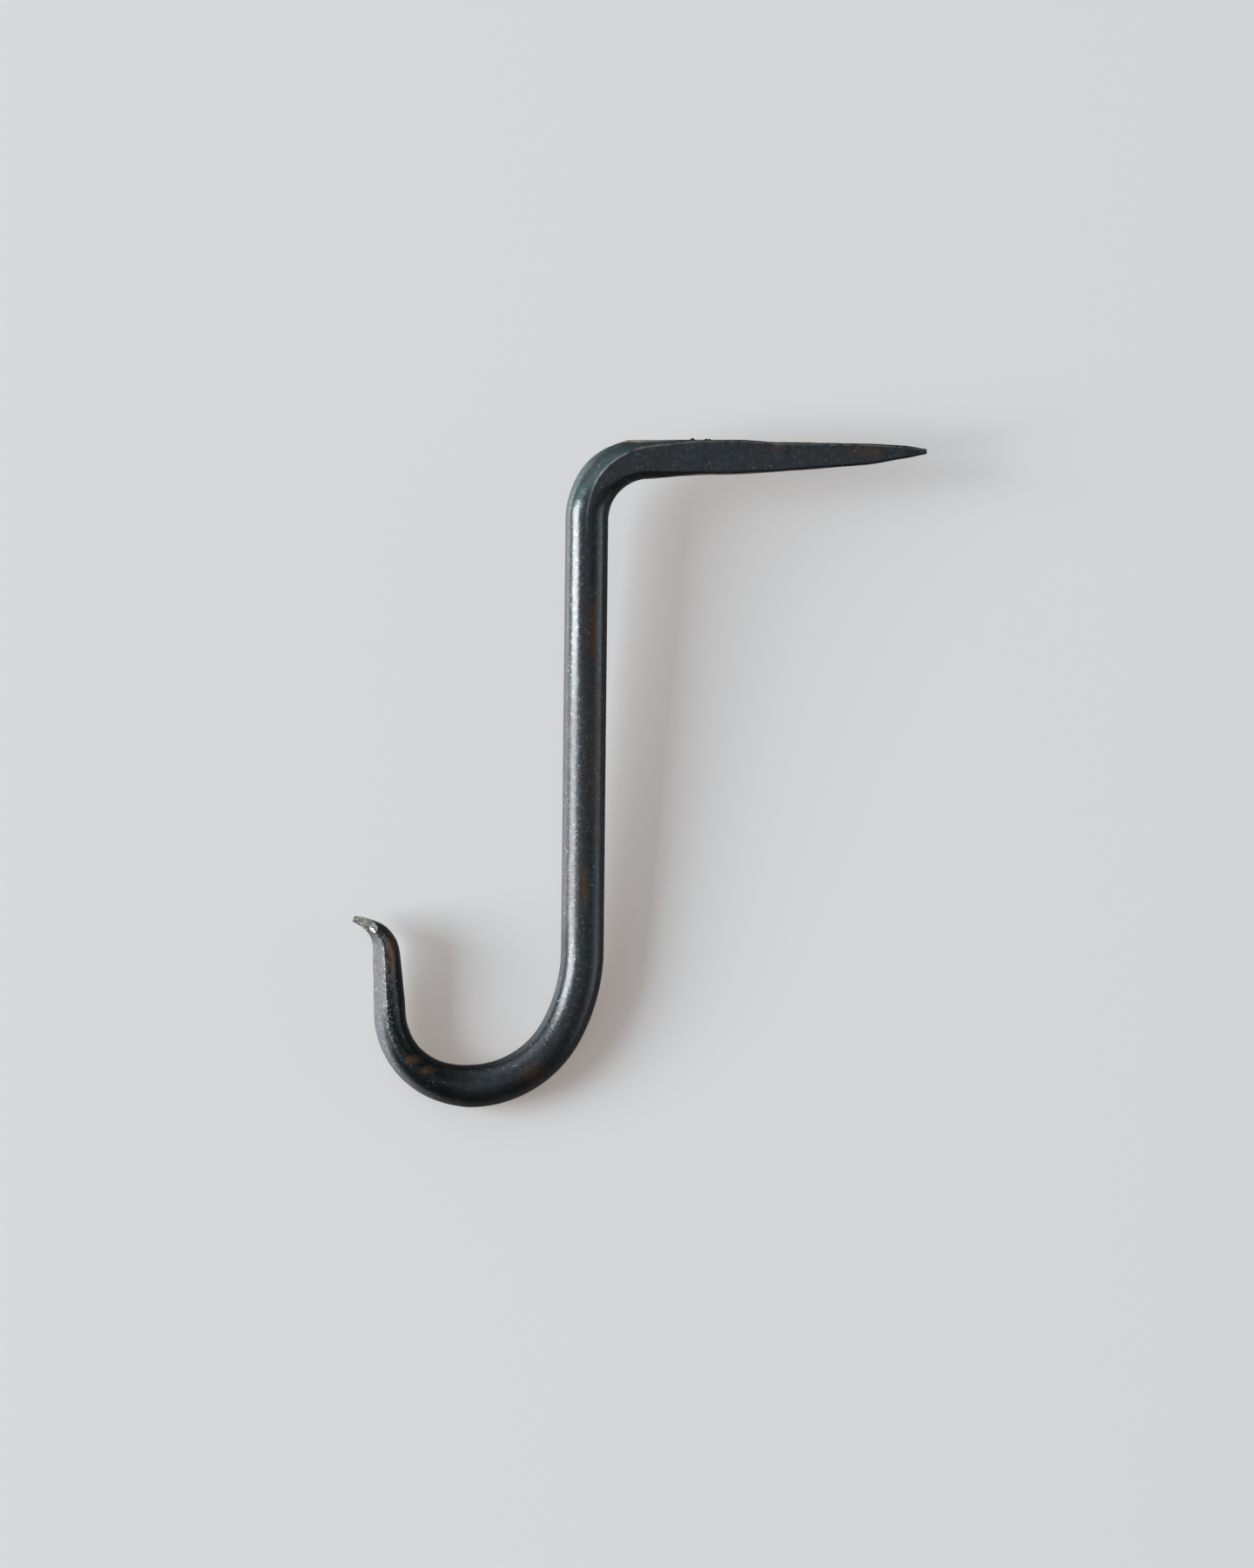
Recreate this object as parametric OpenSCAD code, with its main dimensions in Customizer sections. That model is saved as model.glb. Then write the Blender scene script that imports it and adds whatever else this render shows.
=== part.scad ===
// Beam hook forged in one piece from round bar.
//
// A square tapered spike is driven into the side of a beam. The round shank hangs from it against
// the beam, and ends in a bowl that carries the load. The far arm of the bowl is hammered thin and
// its tip is curled outwards.
//
// Frame: X runs along the spike to its point, Z runs up the shank, and Y is the depth of the bar.
// The origin is on the spike's driving line, in the plane of the shank's beam side.

/* [Bar stock] */
// Diameter of the round bar
bar_d = 10; // [8:0.5:12]

/* [Shank] */
// Straight length of the shank, between the top bend and the bowl
shank_len = 100.5; // [60:0.5:200]
// Lean of the shank away from square to the spike, in degrees
shank_lean = 0.6; // [0:0.1:4]

/* [Top bend] */
// Radius of the bend, on the middle of the bar
bend_r = 15.2; // [12:0.2:24]
// Height of the hammered flat on top of the bend, over the driving line
top_flat = 3.66; // [3.2:0.02:4.2]
// End of the round bar, in degrees of bend back from the spike
round_angle = 76; // [60:1:88]
// Crown of the bend, in degrees back from the spike
crown_angle = 45; // [35:1:55]
// Crown: change from the round bar on the outside, on the inside and in depth
crown = [0.3, -0.05, -0.3]; // [-1:0.05:1]
// Crown: outer bevel, inner bevel, and how flat each one is
crown_bevels = [4.3, 2.4, 0.8, 0.4]; // [0:0.05:5]
// Haunch, where the top flat starts, in degrees of bend back from the spike
haunch_angle = 20; // [10:1:30]
// Haunch: change from the round bar on the outside, on the inside and in depth
haunch = [-0.5, 0.05, -0.75]; // [-1:0.05:1]
// Haunch: outer bevel, inner bevel, and how flat each one is
haunch_bevels = [2.95, 1.55, 0.9, 0.6]; // [0:0.05:5]

/* [Spike] */
// Length of the spike, from the shank's beam side to the point
spike_len = 74.7; // [62:0.1:120]
// Root of the spike: height above the line, height below it, and depth
root = [4.35, 5.24, 8.9]; // [1:0.05:12]
// Root of the spike: upper bevel, lower bevel, and how flat each one is
root_bevels = [2.15, 1.5, 0.95, 0.8]; // [0:0.05:5]
// Distance from the root to the shoulder, where the section is square
shoulder_at = 10.5; // [6:0.5:14]
// Shoulder: height above the line, height below it, and depth
shoulder = [4.1, 4.33, 8.4]; // [1:0.05:12]
// Shoulder: upper bevel, lower bevel, and how flat each one is
shoulder_bevels = [0.75, 0.4, 1, 1]; // [0:0.05:5]
// Distance from the root to the waist, where the taper sets in
waist_at = 20.7; // [16:0.1:26]
// Waist: height above the line, height below it, and depth
waist = [3.72, 4.13, 7.8]; // [1:0.05:12]
// Distance from the root to the middle of the taper
middle_at = 31; // [27:0.5:36]
// Middle of the taper: height above the line, height below it, and depth
middle = [3.16, 3.53, 7]; // [1:0.05:12]
// Distance from the point back to the neck, where the taper gets steeper
neck_at = 13; // [9:0.5:15]
// Neck: height above the line, height below it, and depth
neck = [2.87, 1.9, 4.8]; // [0:0.05:12]
// Distance from the point back to the nose
nose_at = 5; // [3:0.5:8]
// Nose: height above the line, height below it, and depth
nose = [2.42, 0.47, 3.3]; // [0:0.05:12]
// Blunt point: height above the line, height below it, and depth
point = [1.65, -0.5, 1.9]; // [-1:0.05:12]
// Bevels along the edges of the taper: upper, lower, and how flat each one is
edge_bevels = [0.35, 0.35, 1, 1]; // [0:0.05:1]
// Bevels at the point: upper, lower, and how flat each one is
point_bevels = [0.2, 0.2, 1, 1]; // [0:0.05:0.4]

/* [Bowl] */
// Radius of the first, open part of the bowl, on the middle of the bar
entry_r = 41; // [25:0.5:60]
// Turn of the first part, in degrees
entry_turn = 28; // [10:1:45]
// Radius of the bottom of the bowl, on the middle of the bar
low_r = 24.6; // [15:0.1:35]
// Turn of the bottom past the lowest point, in degrees
past_low = 11.6; // [4:0.2:20]
// Radius of the last part, where the bowl rises into the arm
rise_r = 18.4; // [12:0.1:26]
// Half-way up the rise: outside and inside of the section, and its spread past the bar's depth
rise = [3.55, 4.4, 0.1]; // [0:0.05:6]
// Half-way up the rise: outer bevel, inner bevel, and how flat each one is
rise_bevels = [3.6, 4.2, 0.5, 0]; // [0:0.05:5]

/* [Arm] */
// Straight length of the arm
arm_len = 15; // [6:0.5:40]
// Lean of the arm away from the shank, in degrees
arm_lean = 4; // [0:0.5:15]
// Foot of the arm: outside and inside of the section, and its spread past the bar's depth
arm_foot = [2.6, 4.85, 0.2]; // [0:0.05:6]
// Foot of the arm: outer bevel, inner bevel, and how flat each one is
arm_foot_bevels = [3.1, 4.3, 1, 0]; // [0:0.05:5]
// Head of the arm: outside and inside of the section, and its spread past the bar's depth
arm_head = [1.86, 4.45, 0.3]; // [0:0.05:6]
// Head of the arm: outer bevel, inner bevel, and how flat each one is
arm_head_bevels = [2.75, 3.5, 1, 0.1]; // [0:0.05:5]

/* [Curled tip] */
// Radius of the curl
curl_r = 7.8; // [6:0.1:14]
// Turn of the curl, in degrees
curl_turn = 68; // [50:1:100]
// Straight end of the tip, past the curl
flick_len = 1; // [0.5:0.1:6]
// Share of the curl where the thinning starts, is half done, is nearly done, and is done
thinning_at = [0.18, 0.38, 0.6, 0.78]; // [0.02:0.02:0.95]
// Start of the thinning: outside and inside of the section, and its spread past the bar's depth
curl_foot = [1.75, 3.75, 0.4]; // [-3:0.05:6]
// Thinning half done: outside and inside of the section, and its spread past the bar's depth
curl_mid = [1.5, 3, 0.4]; // [-3:0.05:6]
// Thinning nearly done: outside and inside of the section, and its spread past the bar's depth
curl_head = [1.38, 1.8, 0.2]; // [-3:0.05:6]
// Foot of the blade: outside and inside of the section, and its spread past the bar's depth
blade = [1.22, 1.12, -0.3]; // [-3:0.05:6]
// End of the blade: outside and inside of the section, and its spread past the bar's depth
blade_end = [1, 0.35, -1.6]; // [-3:0.05:6]
// Bevels at the start of the thinning: outer, inner, and how flat each one is
curl_foot_bevels = [2.35, 2.4, 1, 0.3]; // [0:0.05:5]
// Bevels at half of the thinning: outer, inner, and how flat each one is
curl_mid_bevels = [1.7, 1.5, 1, 0.5]; // [0:0.05:5]
// Bevels near the end of the thinning: outer, inner, and how flat each one is
curl_head_bevels = [0.8, 0.5, 1, 0.8]; // [0:0.05:5]
// Bevels of the blade: outer, inner, and how flat each one is
blade_bevels = [0.3, 0.2, 1, 1]; // [0:0.05:0.5]

/* [Filed flat on the front of the tip] */
// Distance from the end of the tip back to the middle of the flat
file_back = 4.5; // [2:0.1:6]
// Depth of the flat there, in front of the middle of the bar
file_depth = 4; // [2:0.05:5]
// Turn of the flat towards the end of the tip, in degrees
file_turn = 26.5; // [10:0.5:40]
// Tilt of the flat upwards, in degrees
file_tilt = 24; // [0:0.5:35]

/* [Facets] */
// Corners of each forged section
ring_sides = 32; // [24:4:40]
// Largest turn between two sections, in degrees
ring_turn = 4; // [3:0.5:8]
// Largest straight distance between two sections
ring_step = 2.6; // [1.5:0.1:5]

/* [Hidden] */
$fn = 96;

bar_r = bar_d / 2;
// Each piece is seated this far inside the one before it, and is a hair smaller in radius there.
seat = 1;
hair = 0.01;
// Changes of section are eased over this distance to each side.
ease = 1.2;

// The bend brings the bar's beam side to x = 0 below it, and its middle to z = 0 along the spike.
bend_turn = 90 - shank_lean;
bend_x = bend_r - bar_r;
spike_run = spike_len - bend_x;

// Turns of the bowl. The bar stays round down to the lowest point.
low_turn = 90 - shank_lean - entry_turn;
seat_turn = 1;
rise_turn = 90 - past_low - arm_lean;

// ---- Route along the bar: a spot is [x, z, heading] ----

function arc_len(radius, turn) = radius * turn * PI / 180;

// Moves a spot along one piece of route. A radius of 0 is straight, and a left turn is positive.
function move(spot, radius, distance) =
    radius == 0
    ? [spot[0] + distance * cos(spot[2]), spot[1] + distance * sin(spot[2]), spot[2]]
    : let (heading = spot[2] + distance / radius * 180 / PI)
      [
          spot[0] + radius * (sin(heading) - sin(spot[2])),
          spot[1] - radius * (cos(heading) - cos(spot[2])),
          heading
      ];

// Walks a route, a list of [length, radius], and gives the spot at a distance from its start.
function spot_at(spot, route, distance, i = 0) =
    i == len(route) - 1 || distance <= route[i][0]
    ? move(spot, route[i][1], distance)
    : spot_at(move(spot, route[i][1], route[i][0]), route, distance - route[i][0], i + 1);

function route_len(route, i = 0) = i == len(route) ? 0 : route[i][0] + route_len(route, i + 1);

// Places of the sections along a route: even steps on each piece, finer where it turns.
function steps_of(piece) =
    max(2, ceil(piece[1] == 0 ? piece[0] / ring_step : piece[0] / arc_len(abs(piece[1]), ring_turn)));

function places(route, i = 0, start = 0) =
    i == len(route)
    ? [start]
    : concat(
          [for (k = [0 : steps_of(route[i]) - 1]) start + route[i][0] * (k + 0.5) / steps_of(route[i])],
          places(route, i + 1, start + route[i][0])
      );

// ---- Forged section ----

// A station is [distance, outside, inside, depth, outer bevel, inner bevel, outer and inner
// flatness]. Each column is read straight between the stations and then eased.
function station(distance, size, bevels) = concat([distance], size, bevels);

// The round bar, smaller in radius by the given amount where it is seated.
function round_station(distance, less) =
    station(distance, [bar_r - less, bar_r - less, bar_d - 2 * less], [bar_r, bar_r, 0, 0]);

// A section given by its change from the round bar.
function bent_station(distance, change, bevels) =
    station(distance, [bar_r + change[0], bar_r + change[1], bar_d + change[2]], bevels);

// A section given by its outside, its inside and its spread past the bar's depth.
function spread_station(distance, size, bevels) =
    station(distance, [size[0], size[1], bar_d + size[2]], bevels);

function column(stations, k) = [for (row = stations) [row[0], row[k]]];

function eased(distance, table) =
    (lookup(distance - ease, table) + 2 * lookup(distance, table) + lookup(distance + ease, table)) / 4;

function section_at(stations, distance) =
    [for (k = [1 : len(stations[0]) - 1]) eased(distance, column(stations, k))];

// One point of a section, at an angle round it: [towards the outside, depth].
// A corner is a quarter ellipse with the bevel's size. Its flatness pulls it in to a straight bevel,
// and the sides between the corners are flat. Bevels of half the bar make the section round.
function section_point(section, angle) =
    let (
        outside = section[0],
        inside = section[1],
        half_depth = section[2] / 2,
        half_height = (outside + inside) / 2,
        outer = cos(angle) > 0,
        side = cos(angle) > 0 ? 1 : -1,
        front = sin(angle) > 0 ? 1 : -1,
        bevel = min(outer ? section[3] : section[4], outside + inside - 0.1),
        bevel_depth = half_depth * min(1, bevel / half_height),
        flatness = outer ? section[5] : section[6],
        reach = 1 - flatness * (1 - 1 / (abs(cos(angle)) + abs(sin(angle)))),
        height = outer ? outside : inside
    )
    [
        side * (height - bevel + bevel * abs(cos(angle)) * reach),
        front * (half_depth - bevel_depth + bevel_depth * abs(sin(angle)) * reach)
    ];

// The section as points in space, square to the route at a spot. The outside is to the left.
function ring(spot, section) =
    [
        for (i = [0 : ring_sides - 1])
        let (p = section_point(section, (i + 0.5) * 360 / ring_sides))
        [spot[0] - p[0] * sin(spot[2]), p[1], spot[1] + p[0] * cos(spot[2])]
    ];

// A closed solid through all sections of a route.
module loft(start, route, stations) {
    spots = concat([0], places(route));
    last = len(spots) - 1;
    points = [for (s = spots) each ring(spot_at(start, route, s), section_at(stations, s))];
    sides = [
        for (j = [0 : last - 1], i = [0 : ring_sides - 1])
        let (next = (i + 1) % ring_sides)
        [
            j * ring_sides + i,
            j * ring_sides + next,
            (j + 1) * ring_sides + next,
            (j + 1) * ring_sides + i
        ]
    ];
    first_cap = [for (i = [0 : ring_sides - 1]) ring_sides - 1 - i];
    last_cap = [for (i = [0 : ring_sides - 1]) last * ring_sides + i];
    polyhedron(points, concat(sides, [first_cap, last_cap]), convexity = 6);
}

// ---- Spike and top bend ----

// The route climbs out of the shank, round the bend and along the spike.
shank_top = [bend_x - bend_r * cos(shank_lean), bend_r * (sin(shank_lean) - 1), 90 - shank_lean];
spike_route = [[seat, 0], [arc_len(bend_r, bend_turn), -bend_r], [spike_run, 0]];
spike_end = route_len(spike_route);
root_place = spike_end - spike_run;

function bend_place(angle) = root_place - arc_len(bend_r, angle);

spike_stations = [
    round_station(bend_place(round_angle), hair),
    bent_station(bend_place(crown_angle), crown, crown_bevels),
    bent_station(bend_place(haunch_angle), haunch, haunch_bevels),
    station(root_place, root, root_bevels),
    station(root_place + shoulder_at, shoulder, shoulder_bevels),
    station(root_place + waist_at, waist, edge_bevels),
    station(root_place + middle_at, middle, edge_bevels),
    station(spike_end - neck_at, neck, edge_bevels),
    station(spike_end - nose_at, nose, edge_bevels),
    station(spike_end, point, point_bevels)
];

module spike_and_bend() {
    difference() {
        loft(move(shank_top, 0, -seat), spike_route, spike_stations);
        // hammered flat along the top
        translate([-bar_d, -bar_d, top_flat])
            cube([spike_len + 2 * bar_d, 2 * bar_d, bar_d]);
    }
}

// ---- Round shank and bowl ----

// Part of a ring of round bar, turning clockwise from an angle under the +X side of its centre.
module round_arc(radius, from, turn, bar_radius) {
    rotate([0, from, 0])
        rotate([-90, 0, 0])
            rotate_extrude(angle = turn)
                translate([radius, 0])
                    circle(r = bar_radius);
}

module shank_and_bowl() {
    translate([shank_top[0], 0, shank_top[1]])
        rotate([0, shank_lean, 0]) {
            translate([0, 0, -shank_len])
                cylinder(d = bar_d, h = shank_len);
            translate([-entry_r, 0, -shank_len]) {
                round_arc(entry_r, 0, entry_turn, bar_r);
                rotate([0, entry_turn, 0])
                    translate([entry_r - low_r, 0, 0])
                        round_arc(low_r, -seat_turn, low_turn + seat_turn, bar_r - hair);
            }
        }
}

// ---- Rising arm and curled tip ----

// The route leaves the bowl at its lowest point.
shank_foot = move(shank_top, 0, -shank_len);
bowl_start = [shank_foot[0], shank_foot[1], shank_foot[2] + 180];
bowl_lowest = move(
    move(bowl_start, -entry_r, arc_len(entry_r, entry_turn)),
    -low_r,
    arc_len(low_r, low_turn)
);
tip_route = [
    [seat, -low_r],
    [arc_len(low_r, past_low), -low_r],
    [arc_len(rise_r, rise_turn), -rise_r],
    [arm_len, 0],
    [arc_len(curl_r, curl_turn), curl_r],
    [flick_len, 0]
];
tip_end = route_len(tip_route);
curl_place = tip_end - flick_len - arc_len(curl_r, curl_turn);
arm_place = curl_place - arm_len;
rise_place = arm_place - arc_len(rise_r, rise_turn) / 2;

function curl_at(k) = curl_place + arc_len(curl_r, curl_turn) * thinning_at[k];

tip_stations = [
    round_station(seat, 2 * hair),
    spread_station(rise_place, rise, rise_bevels),
    spread_station(arm_place, arm_foot, arm_foot_bevels),
    spread_station(curl_place, arm_head, arm_head_bevels),
    spread_station(curl_at(0), curl_foot, curl_foot_bevels),
    spread_station(curl_at(1), curl_mid, curl_mid_bevels),
    spread_station(curl_at(2), curl_head, curl_head_bevels),
    spread_station(curl_at(3), blade, blade_bevels),
    spread_station(tip_end, blade_end, blade_bevels)
];

arm_start = move(bowl_lowest, -low_r, -seat);

// What the file took off the front of the tip: all that stands in front of one slanted plane.
module filed_off() {
    spot = spot_at(arm_start, tip_route, tip_end - file_back);
    translate([spot[0], -file_depth, spot[1]])
        rotate([-file_tilt, 0, -file_turn])
            translate([-bar_d, -bar_d, -bar_d])
                cube([2 * bar_d, bar_d, 2 * bar_d]);
}

module arm_and_tip() {
    difference() {
        loft(arm_start, tip_route, tip_stations);
        filed_off();
    }
}

module beam_hook() {
    color("#2b3236")
        union() {
            spike_and_bend();
            shank_and_bowl();
            arm_and_tip();
        }
}

beam_hook();
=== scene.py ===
# %% [markdown]
# # A forged beam hook
# This hook is one length of 10 mm round bar, worked hot at both ends. One end is drawn out to a
# square spike that is driven into a beam. The other end is bent to a bowl, and its tip is hammered
# thin and curled outwards. The middle of the bar is left round, as it came from the mill.
#
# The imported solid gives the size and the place. This script builds the same shape again with a
# much finer skin, so that hammer marks, ripples and pits can be real dents in the surface.

# %% Load the frame
import math

import bpy
import numpy as np
from mathutils import Matrix, Vector


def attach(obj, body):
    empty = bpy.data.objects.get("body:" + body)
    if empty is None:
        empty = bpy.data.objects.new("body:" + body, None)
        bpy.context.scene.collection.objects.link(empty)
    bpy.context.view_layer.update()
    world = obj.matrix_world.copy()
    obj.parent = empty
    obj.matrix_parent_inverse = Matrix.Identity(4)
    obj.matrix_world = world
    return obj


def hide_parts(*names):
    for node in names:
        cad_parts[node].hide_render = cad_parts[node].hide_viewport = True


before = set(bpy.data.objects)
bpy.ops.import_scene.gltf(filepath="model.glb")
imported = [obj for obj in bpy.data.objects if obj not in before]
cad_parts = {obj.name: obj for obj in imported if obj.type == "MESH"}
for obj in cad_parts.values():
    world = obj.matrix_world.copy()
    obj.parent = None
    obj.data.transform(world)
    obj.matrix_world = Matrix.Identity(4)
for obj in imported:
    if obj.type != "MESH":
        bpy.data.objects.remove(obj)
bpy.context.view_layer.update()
MM = 0.001

# %% [markdown]
# ## The line of the bar
# A smith thinks of a hook as a line first: how far along the bar each bend starts, how tight it is,
# and how much metal is left after it. The line here is walked the same way, from the point of the
# spike to the tip of the arm, piece by piece. A curve drawn by eye would be quicker, but its bends
# would not be true arcs and its lengths would not be sizes that can be checked. Each piece has a
# length and a radius, a radius of 0 is straight, and a left turn is positive. The line lies in the
# XZ plane, half-way through the bar's depth, so a spot on it is an x, a z and a heading.

# %% Lengths and bends, in mm and degrees
BAR_D = 10.0
BAR_R = BAR_D / 2
SHANK_LEN, SHANK_LEAN = 100.5, 0.6
BEND_R = 15.2
SPIKE_LEN = 74.7
TOP_FLAT = 3.66
ENTRY_R, ENTRY_TURN = 41.0, 28.0
LOW_R, PAST_LOW = 24.6, 11.6
RISE_R = 18.4
ARM_LEN, ARM_LEAN = 15.0, 4.0
CURL_R, CURL_TURN, FLICK_LEN = 7.8, 68.0, 1.0
SPIKE_RUN = SPIKE_LEN - (BEND_R - BAR_R)


def arc(radius, turn):
    return radius * math.radians(turn)


route = {
    "spike": (SPIKE_RUN, 0),
    "bend": (arc(BEND_R, 90 - SHANK_LEAN), BEND_R),
    "shank": (SHANK_LEN, 0),
    "entry": (arc(ENTRY_R, ENTRY_TURN), -ENTRY_R),
    "low": (arc(LOW_R, 90 - SHANK_LEAN - ENTRY_TURN), -LOW_R),
    "past low": (arc(LOW_R, PAST_LOW), -LOW_R),
    "rise": (arc(RISE_R, 90 - PAST_LOW - ARM_LEAN), -RISE_R),
    "arm": (ARM_LEN, 0),
    "curl": (arc(CURL_R, CURL_TURN), CURL_R),
    "flick": (FLICK_LEN, 0),
}
ends = dict(zip(route, np.cumsum([length for length, _ in route.values()])))
starts = {name: ends[name] - route[name][0] for name in route}
bar_len = ends["flick"]
print("bar along its middle:", round(bar_len, 1), "mm")


# %% Walk the line
def move(x, z, heading, radius, d):
    """Moves a spot by the distance d, along a straight or a bend."""
    if not radius:
        return x + d * np.cos(heading), z + d * np.sin(heading), heading + 0 * d
    turned = heading + d / radius
    return (
        x + radius * (np.sin(turned) - np.sin(heading)),
        z - radius * (np.cos(turned) - np.cos(heading)),
        turned,
    )


def spots(d):
    """The x, z and heading of each distance d along the bar."""
    x, z, heading = SPIKE_LEN, 0.0, math.pi
    found = np.zeros((3, len(d)))
    rounding = 1e-9
    for name, (length, radius) in route.items():
        here = d >= starts[name] - rounding
        found[:, here] = move(x, z, heading, radius, d[here] - starts[name])
        x, z, heading = move(x, z, heading, radius, length)
    return found


ROW_STEP, TIP_STEP, TIP_RUN = 0.34, 0.17, 8.0
RIM_R = 0.3
rim_rows = np.array([0, 0.04, 0.1, 0.17, 0.25])
long_rows = np.arange(ROW_STEP, bar_len - TIP_RUN, ROW_STEP)
tip_rows = np.arange(bar_len - TIP_RUN, bar_len - RIM_R, TIP_STEP)
along = np.concatenate([rim_rows, long_rows, tip_rows, (bar_len - rim_rows)[::-1]])
line_x, line_z, heading = spots(along)
print(len(along), "rows; the arm ends at", round(line_x[-1], 2), round(line_z[-1], 2))

# %% [markdown]
# ## The section of the bar
# The bar's section changes all the way: square at the spike, bevelled round the top bend, round
# along the shank and the bowl, then bevelled and thinned along the arm. One rule covers them all.
# A section has a reach to the left and to the right of the line, a depth, and a bevel on each side.
# A bevel of half the bar, with no flatness, is a round side. A small flat bevel is a square side
# with its edge knocked off. The sizes are set at a few stations and read in between, which is how
# the smith works too: a few places are right, and the metal between them follows.

# %% Stations
COLUMNS = ("left", "right", "depth", "bevel_left", "bevel_right", "flat_left", "flat_right")


def spike_section(place, above, below, depth, upper, lower, upper_flat, lower_flat):
    return [place, below, above, depth, lower, upper, lower_flat, upper_flat]


def bend_section(degrees, outside, inside, depth, *bevels):
    """Half-way sections of the bend, as changes from the round bar."""
    place = starts["bend"] + arc(BEND_R, degrees)
    return spike_section(place, BAR_R + outside, BAR_R + inside, BAR_D + depth, *bevels)


def arm_section(place, outside, inside, spread, outer, inner, outer_flat, inner_flat):
    return [place, outside, inside, BAR_D + spread, outer, inner, outer_flat, inner_flat]


def round_section(place):
    return [place, BAR_R, BAR_R, BAR_D, BAR_R, BAR_R, 0, 0]


def in_curl(share):
    return starts["curl"] + share * route["curl"][0]


stations = np.array([
    spike_section(0, 1.65, -0.5, 1.9, 0.2, 0.2, 1, 1),
    spike_section(5, 2.42, 0.47, 3.3, 0.35, 0.35, 1, 1),
    spike_section(13, 2.87, 1.9, 4.8, 0.35, 0.35, 1, 1),
    spike_section(SPIKE_RUN - 31, 3.16, 3.53, 7, 0.35, 0.35, 1, 1),
    spike_section(SPIKE_RUN - 20.7, 3.72, 4.13, 7.8, 0.35, 0.35, 1, 1),
    spike_section(SPIKE_RUN - 10.5, 4.1, 4.33, 8.4, 0.75, 0.4, 1, 1),
    spike_section(SPIKE_RUN, 4.35, 5.24, 8.9, 2.15, 1.5, 0.95, 0.8),
    bend_section(20, -0.5, 0.05, -0.75, 2.95, 1.55, 0.9, 0.6),
    bend_section(45, 0.3, -0.05, -0.3, 4.3, 2.4, 0.8, 0.4),
    round_section(starts["bend"] + arc(BEND_R, 76)),
    round_section(ends["low"]),
    arm_section(starts["rise"] + route["rise"][0] / 2, 3.55, 4.4, 0.1, 3.6, 4.2, 0.5, 0),
    arm_section(starts["arm"], 2.6, 4.85, 0.2, 3.1, 4.3, 1, 0),
    arm_section(starts["curl"], 1.86, 4.45, 0.3, 2.75, 3.5, 1, 0.1),
    arm_section(in_curl(0.18), 1.75, 3.75, 0.4, 2.35, 2.4, 1, 0.3),
    arm_section(in_curl(0.38), 1.5, 3, 0.4, 1.7, 1.5, 1, 0.5),
    arm_section(in_curl(0.6), 1.38, 1.8, 0.2, 0.8, 0.5, 1, 0.8),
    arm_section(in_curl(0.78), 1.22, 1.12, -0.3, 0.3, 0.2, 1, 1),
    arm_section(bar_len, 1, 0.35, -1.6, 0.3, 0.2, 1, 1),
])
print(len(stations), "stations")


# %% Read the sections along the line
EASE = 1.2


def eased(column):
    """A column read at every row, and smoothed over a short distance to each side."""
    read = [np.interp(along + shift, stations[:, 0], column) for shift in (-EASE, 0, EASE)]
    return (read[0] + 2 * read[1] + read[2]) / 4


sizes = {name: eased(stations[:, k + 1]) for k, name in enumerate(COLUMNS)}
from_end = np.clip(np.minimum(along, bar_len - along), 0, RIM_R)
rim = RIM_R - np.sqrt(RIM_R**2 - (RIM_R - from_end) ** 2)
sizes["left"] -= rim
sizes["right"] -= rim
sizes["depth"] -= 2 * rim
print("depth from", round(sizes["depth"].min(), 2), "to", round(sizes["depth"].max(), 2), "mm")


# %% Where each kind of work was done
def ramp(low, high):
    """0 before low, 1 past high, and smooth in between, along the bar."""
    t = np.clip((along - low) / (high - low), 0, 1)
    return t * t * (3 - 2 * t)


HEAT_FADE = 6
ARM_HEAT = 8
RIPPLES_FROM, RIPPLES_FULL, RIPPLES_OUT = 22, 50, 14
forged_top = 1 - ramp(ends["bend"] - HEAT_FADE, ends["bend"] + HEAT_FADE)
forged_arm = ramp(starts["past low"] - ARM_HEAT, starts["arm"])
rippled = ramp(starts["shank"] + RIPPLES_FROM, starts["shank"] + RIPPLES_FULL)
rippled *= 1 - ramp(ends["shank"] - RIPPLES_OUT, ends["entry"])
print("rows forged:", int((forged_top + forged_arm > 0.5).sum()), "of", len(along))

# %% [markdown]
# ## The line as a wire
# The line goes into a mesh that has only points and edges. Every size of the section is stored on
# its points as an attribute, and so is the direction that counts as left. Geometry Nodes can then
# read them at each point of the skin, so no list of the skin's own points is ever written.


# %% Make the wire
def store(mesh, name, kind, values):
    attribute = mesh.attributes.new(name, kind, "POINT")
    key = "vector" if kind == "FLOAT_VECTOR" else "value"
    attribute.data.foreach_set(key, np.asarray(values, np.float32).ravel())


flat = 0 * along
middle = np.stack([line_x, flat, line_z], 1) * MM
leftward = np.stack([-np.sin(heading), flat, np.cos(heading)], 1)
wire = bpy.data.meshes.new("beam_hook_forged")
wire.from_pydata(middle.tolist(), [(i, i + 1) for i in range(len(along) - 1)], [])
store(wire, "middle", "FLOAT_VECTOR", middle)
store(wire, "leftward", "FLOAT_VECTOR", leftward)
for name in ("left", "right", "depth", "bevel_left", "bevel_right"):
    store(wire, name, "FLOAT", sizes[name] * MM)
for name in ("flat_left", "flat_right"):
    store(wire, name, "FLOAT", sizes[name])
store(wire, "along", "FLOAT", along * MM)
store(wire, "forged_top", "FLOAT", forged_top)
store(wire, "forged_arm", "FLOAT", forged_arm)
store(wire, "rippled", "FLOAT", rippled)
hook = bpy.data.objects.new("beam_hook_forged", wire)
bpy.context.collection.objects.link(hook)
print("wire:", len(wire.vertices), "points")


# %% [markdown]
# ## Formulas as nodes
# A node tree is a formula drawn as boxes. Written out by hand, each plus and times is a box with
# two links. This small class makes the box when two values are added or multiplied, so that the
# rule of the section can be written on a few lines. It works in geometry and in shader trees. The
# helpers after it add one box each: any node, a vector box, and soft noise.


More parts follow.
